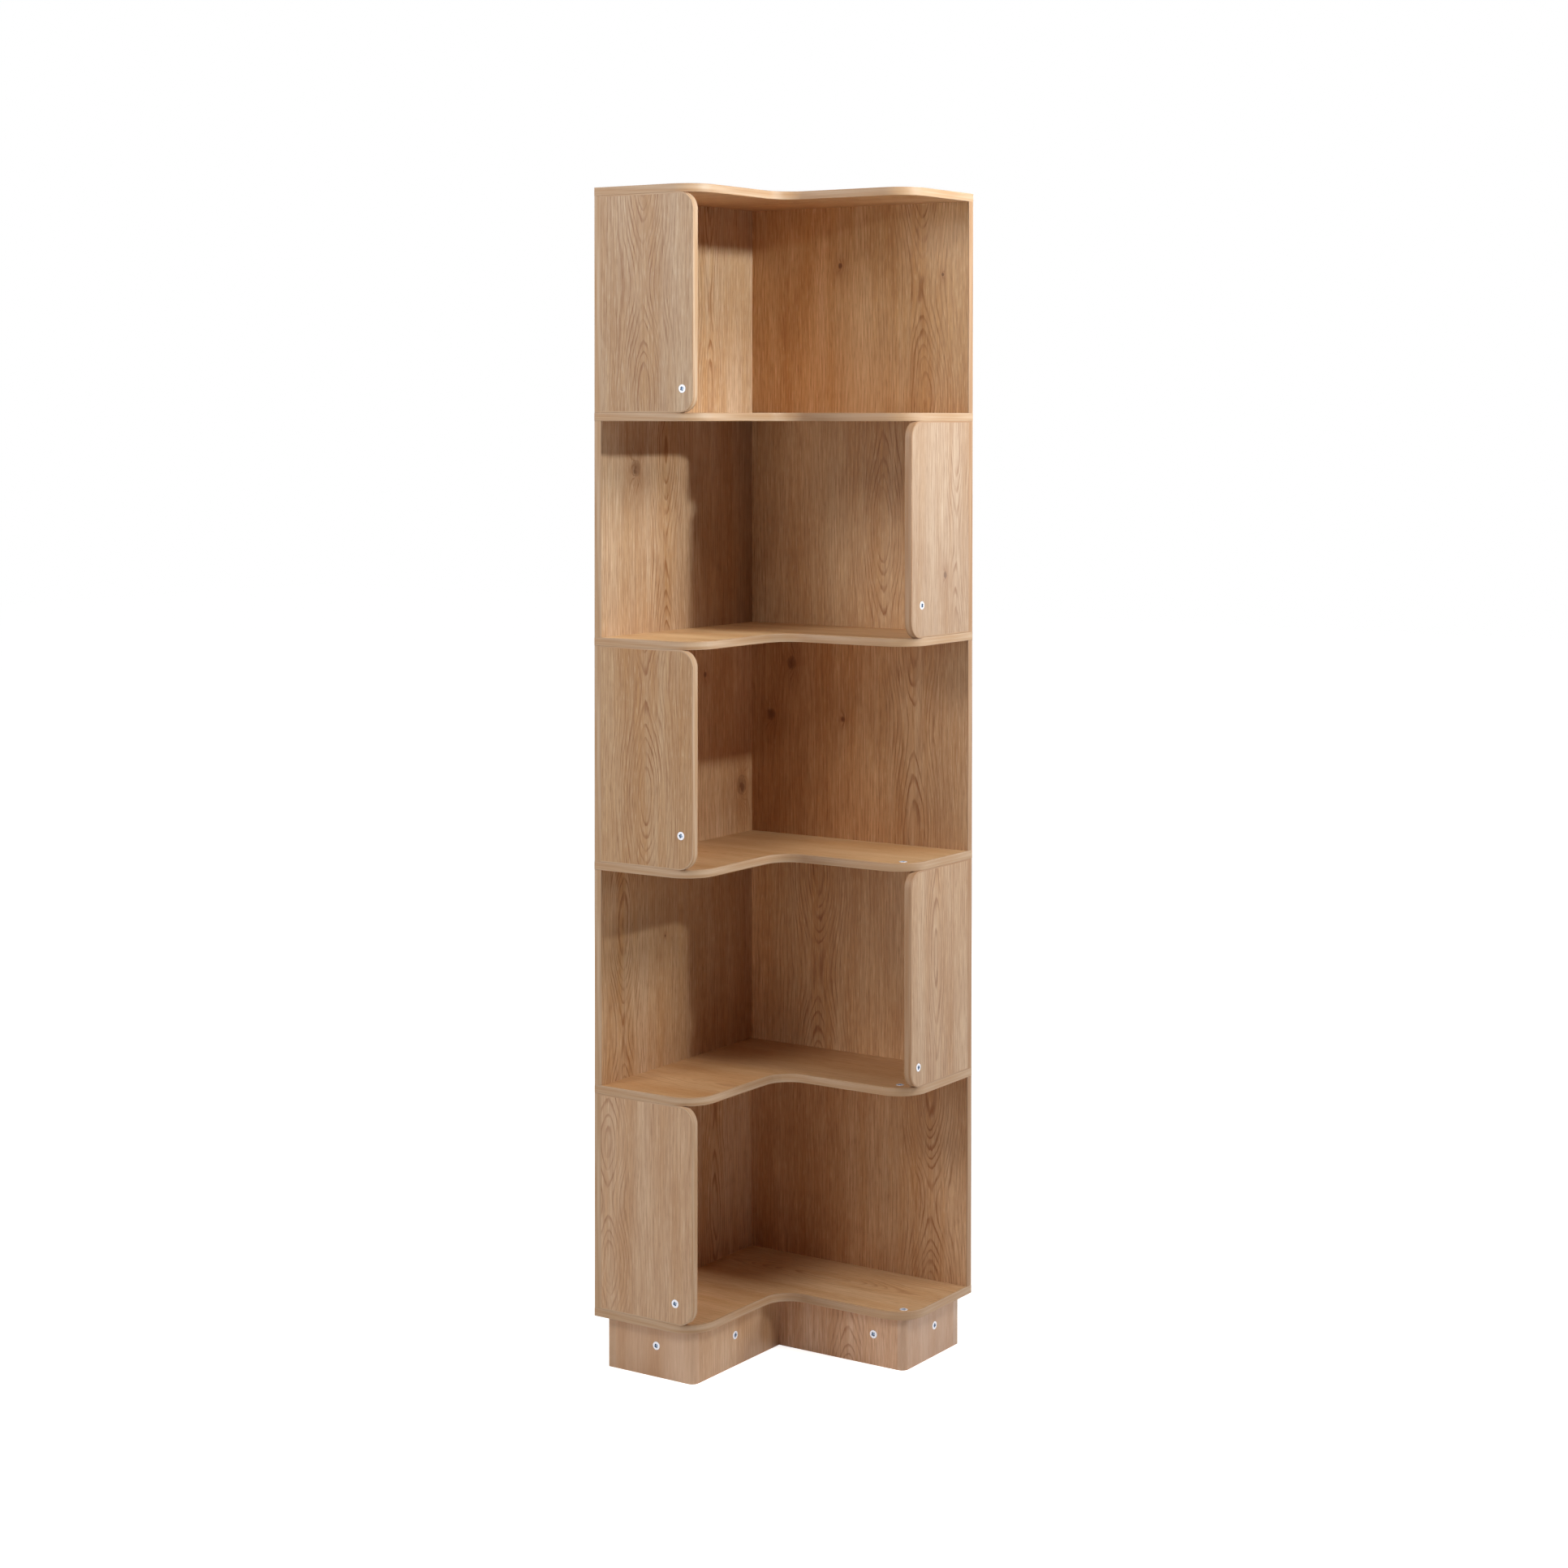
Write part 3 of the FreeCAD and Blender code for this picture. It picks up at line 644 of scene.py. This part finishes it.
def camDisc(low, high, twist):
    # The face is a square grid (a, b) bent to a disc by x = a sqrt(1 - b^2 / 2), y = b sqrt(1 - a^2 / 2). The
    # height is a shallow crown, less a cross of two arms whose walls slope between two widths.
    axis = int(np.argmin(high - low))
    centre, radius = (low + high) / 2, (high - low).max() / 2
    host = next(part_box(name) for name in woodNodes
                if all(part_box(name)[0][k] < centre[k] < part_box(name)[1][k] for k in range(3)))
    outward = 1 if high[axis] > host[1][axis] else -1
    breaks = [cam["armWidth"], cam["armLength"]]
    half = sorted([0, *breaks, *(value + cam["slope"] for value in breaks), *cam["plainLines"],
                   1 - cam["rim"] / radius, 1])
    lines = np.array([-value for value in half[:0:-1]] + half)
    a, b = np.meshgrid(lines, lines, indexing="ij")
    x, y = a * np.sqrt(1 - b**2 / 2), b * np.sqrt(1 - a**2 / 2)
    ramp = lambda value, inner: np.clip((inner + cam["slope"] - np.abs(value)) / cam["slope"], 0, 1)
    arms = np.maximum(ramp(a, cam["armWidth"]) * ramp(b, cam["armLength"]),
                      ramp(b, cam["armWidth"]) * ramp(a, cam["armLength"]))
    rimmed = np.maximum(np.abs(a), np.abs(b)) == 1
    level = cam["crown"] * (1 - x**2 - y**2) - cam["recessDepth"] * arms - cam["rim"] * rimmed
    length = high[axis] - low[axis] - cam["crown"]
    face = np.stack([x * radius, y * radius, length / 2 + level], -1)
    index = np.arange(a.size).reshape(a.shape)
    quads = np.stack([index[:-1, :-1], index[1:, :-1], index[1:, 1:], index[:-1, 1:]], -1).reshape(-1, 4)
    ring = np.concatenate([index[0, :-1], index[:-1, -1], index[-1, :0:-1], index[:0:-1, 0]])
    foot = face.reshape(-1, 3)[ring] * (1, 1, 0) - (0, 0, length / 2)
    base = a.size + np.arange(len(ring))
    walls = np.stack([ring, np.roll(ring, -1), np.roll(base, -1), base], -1)
    # The recess's faces, which take the painted-shade material.
    sunk = np.concatenate([arms.ravel()[quads].max(1) > 0, np.zeros(len(ring) + 1, bool)])
    local = np.vstack([face.reshape(-1, 3), foot])
    turn = np.array([[math.cos(twist), math.sin(twist)], [-math.sin(twist), math.cos(twist)]])
    local[:, :2] = local[:, :2] @ turn
    local[:, 2] -= cam["crown"] / 2
    spot = np.zeros_like(local)
    others = [k for k in range(3) if k != axis]
    spot[:, others] = local[:, :2]
    spot[:, axis] = local[:, 2] * outward
    return (spot + centre, quads.tolist() + walls.tolist() + [base.tolist()], local[:, :2]), sunk


for number, node in enumerate(("panel_cams", "deck_cams", "plinth_cams")):
    discs, sunk = zip(*[camDisc(low, high, cam["twist"] + cam["nextTwist"] * (count + number))
                        for count, (low, high) in enumerate(solidsOf(node))])
    piece = addPiece(node[:-1] + "_discs", discs, zincMaterial, [node], sharpAngle=25)
    # Faces in the recess take the second material, which is painted shade.
    piece.data.materials.append(recessShadeMaterial)
    piece.data.polygons.foreach_set("material_index", np.concatenate(sunk).astype(np.int32))

dowel = {"flutes": 12, "fluteDepth": 0.15 * mm, "chamfer": 0.8 * mm}
bolt = {
    "sides": 16,
    "tip": 0.3 * mm,           # chamfer at the head's end
    "headLength": 3 * mm,
    "waist": 0.6 * mm,         # how much thinner the neck is that the cam grips
    "neckLength": 2 * mm,
    "threadLength": 11 * mm,   # at the upper end
    "threadDepth": 0.35 * mm,
    "pitch": 1.25 * mm,
}


def rod(low, high, steps, around, radiusAt):
    # Point (s, t) = foot + s along the box's longest side + radius(s, t) (cos t, sin t) across it, with flat
    # ends.
    axis = int(np.argmax(high - low))
    s, t = np.meshgrid(steps, np.linspace(0, 2 * math.pi, around, endpoint=False), indexing="ij")
    radius = radiusAt(s, t, (high - low).min() / 2)
    spot = np.empty(s.shape + (3,))
    spot[..., axis], spot[..., axis - 2], spot[..., axis - 1] = s, radius * np.cos(t), radius * np.sin(t)
    foot = (low + high) / 2
    foot[axis] = low[axis]
    uvs = np.stack([s, radius * t], -1).reshape(-1, 2)
    return spot.reshape(-1, 3) + foot, tubeFaces(np.arange(s.size).reshape(s.shape)), uvs


def flutedDowel(low, high):
    # Radius falls by fluteDepth at every second point round it and by the chamfer at both ends.
    length, chamfer = (high - low).max(), dowel["chamfer"]
    flutes = lambda s, t, radius: (radius - dowel["fluteDepth"] * (np.cos(dowel["flutes"] * t) < 0)
                                   - chamfer * ((s == 0) | (s == length)))
    return rod(low, high, [0, chamfer, length - chamfer, length], 2 * dowel["flutes"], flutes)


def threadedBolt(low, high):
    # Radius falls to a waist above the head, and by threadDepth * |2 fract(s / pitch + t / 2 pi) - 1| at the
    # upper end.
    length = high[2] - low[2]
    head, thread = bolt["headLength"], length - bolt["threadLength"]
    neck, shank = head + bolt["neckLength"], head + 2 * bolt["neckLength"]
    steps = np.concatenate([[0, bolt["tip"]], np.linspace(head, neck, 6), np.linspace(shank, thread, 3),
                            np.arange(thread, length, bolt["pitch"] / 8)[1:], [length]])

    def shape(s, t, radius):
        groove = np.abs(2 * ((s / bolt["pitch"] + t / (2 * math.pi)) % 1) - 1)
        waist = bolt["waist"] * ((s >= head) & (s <= neck))
        return radius - bolt["threadDepth"] * groove * (s > thread) - waist - bolt["tip"] * (s == 0)

    return rod(low, high, steps, bolt["sides"], shape)


for node in ("wall_dowels", "corner_dowels", "end_panel_dowels", "plinth_dowels"):
    rods = [flutedDowel(*box) for box in solidsOf(node)]
    addPiece(node[:-1] + "_rods", rods, beechMaterial, [node])
addPiece("plinth_cam_bolt_rods", [threadedBolt(*box) for box in solidsOf("plinth_cam_bolts")],
         steelMaterial, ["plinth_cam_bolts"])
print("fittings made")


# Camera, stage and lamps

studio = {
    "camera": (2.3424, -3.5268, 1.3825), "lens": 66.34, "yaw": 0.5870, "pitch": -0.0163, "roll": -0.0008,
    "shiftY": -0.2047,             # the photo's eye level stands high in its frame
    "floorColour": "#F1F0EE", "floorRoughness": 0.9, "floorReach": 14.0,
    "floorGlow": 0.8, "glowFrom": 1.0, "glowTo": 4.0,  # metres over which the floor whitens
    "ambient": 0.0, "white": 1.0,  # the world's light on the object, and as it is seen
}
lamps = {
    "key": {"place": (2.1, 0.05, 2.03), "aim": (0, 0.05, 2.1), "size": 0.12, "watts": 11.6, "spread": 90,
            "colour": "#F0FFFF"},
    "rightBox": {"place": (1.9, 0.23, 2.8), "aim": (0, 0, 1.2), "size": 1.0, "watts": 41.6},
    "frontBox": {"place": (0.15, -1.8, 2.8), "aim": (0, 0, 1.0), "size": 1.0, "watts": 11.3},
    "leftBox": {"place": (-1.2, -2.4, 2.4), "aim": (0, 0, 1.2), "size": 1.0, "watts": 35},
    "lowBox": {"place": (-0.9, -2.6, 1.1), "aim": (0, 0, 0.85), "size": 1.0, "watts": 3.9},
    "middleBox": {"place": (-0.3, -2.6, 1.1), "aim": (0, 0, 0.85), "size": 1.0, "watts": 6.7},
    "sideBox": {"place": (2.25, 1.3, 1.2), "aim": (0, 0, 0.85), "size": 0.8, "watts": 21},
    "rearBox": {"place": (-1.8, 2.6, 2.0), "aim": (0, 0, 0.85), "size": 1.5, "watts": 40},
}


def addLamp(name, look):
    lamp = bpy.data.lights.new(name, "AREA")
    lamp.shape, lamp.size, lamp.energy = "DISK", look["size"], look["watts"]
    lamp.spread = math.radians(look.get("spread", 180))
    lamp.color = linear(look.get("colour", "#F9FFFF"))[:3]
    holder = addObject(name, lamp)
    holder.location = look["place"]
    aim = np.array(look["aim"]) - look["place"]
    tilt, heading = math.atan2(math.hypot(*aim[:2]), -aim[2]), math.atan2(aim[1], aim[0]) - math.pi / 2
    holder.rotation_euler = (tilt, 0, heading)


def addCamera(look):
    eye = bpy.data.cameras.new("camera")
    eye.sensor_width, eye.lens, eye.shift_y = 36, look["lens"], look["shiftY"]
    holder = addObject("camera", eye)
    holder.location = look["camera"]
    holder.rotation_euler = (math.pi / 2 + look["pitch"], look["roll"], look["yaw"])
    bpy.context.scene.camera = holder


def raysSeen(tree):
    # 1 for rays that show a surface itself, straight or in metal or glass, and 0 for those that light by it.
    rays = addNode(tree, "LightPath").outputs
    seen = addNode(tree, "Math", [rays["Is Camera Ray"], rays["Is Glossy Ray"]], operation="MAXIMUM")
    return addNode(tree, "Math", [seen, rays["Is Transmission Ray"]], operation="MAXIMUM")


def addFloor(look):
    # A pale painted floor. It keeps the object's shadow; a little light of its own, only where it is seen,
    # brings it up to the white of the photo.
    reach = look["floorReach"]
    mesh = bpy.data.meshes.new("studioFloor")
    corners = [(-reach, -reach, 0), (reach, -reach, 0), (reach, reach, 0), (-reach, reach, 0)]
    mesh.from_pydata(corners, [], [(0, 1, 2, 3)])
    floor = addObject("studioFloor", mesh)
    material, tree, shader = newMaterial("paleFloorPaint")
    shader.inputs["Base Color"].default_value = linear(look["floorColour"])
    shader.inputs["Roughness"].default_value = look["floorRoughness"]
    shader.inputs["Specular IOR Level"].default_value = 0.0
    seen = raysSeen(tree)
    away = addNode(tree, "VectorMath", [addNode(tree, "TexCoord").outputs["Object"]], operation="LENGTH")
    level = addNode(tree, "MapRange", [away.outputs["Value"], look["glowFrom"], look["glowTo"],
                                       look["floorGlow"], 1.0])
    glow = addNode(tree, "Emission", {"Strength": addNode(tree, "Math", [seen, level], operation="MULTIPLY")})
    both = addNode(tree, "AddShader", [shader, glow])
    tree.links.new(both.outputs[0], tree.nodes["Material Output"].inputs["Surface"])
    mesh.materials.append(material)


def addWorld(look):
    world = bpy.data.worlds.new("studio")
    world.use_nodes = True
    tree = world.node_tree
    level = addNode(tree, "MapRange", [raysSeen(tree), 0.0, 1.0, look["ambient"], look["white"]])
    tree.nodes["Background"].inputs["Color"].default_value = (1, 1, 1, 1)
    tree.links.new(level.outputs[0], tree.nodes["Background"].inputs["Strength"])
    bpy.context.scene.world = world


addCamera(studio)
for name, look in lamps.items():
    addLamp(name, look)
addFloor(studio)
addWorld(studio)
bpy.context.scene.view_settings.view_transform = "Standard"
print("stage set")
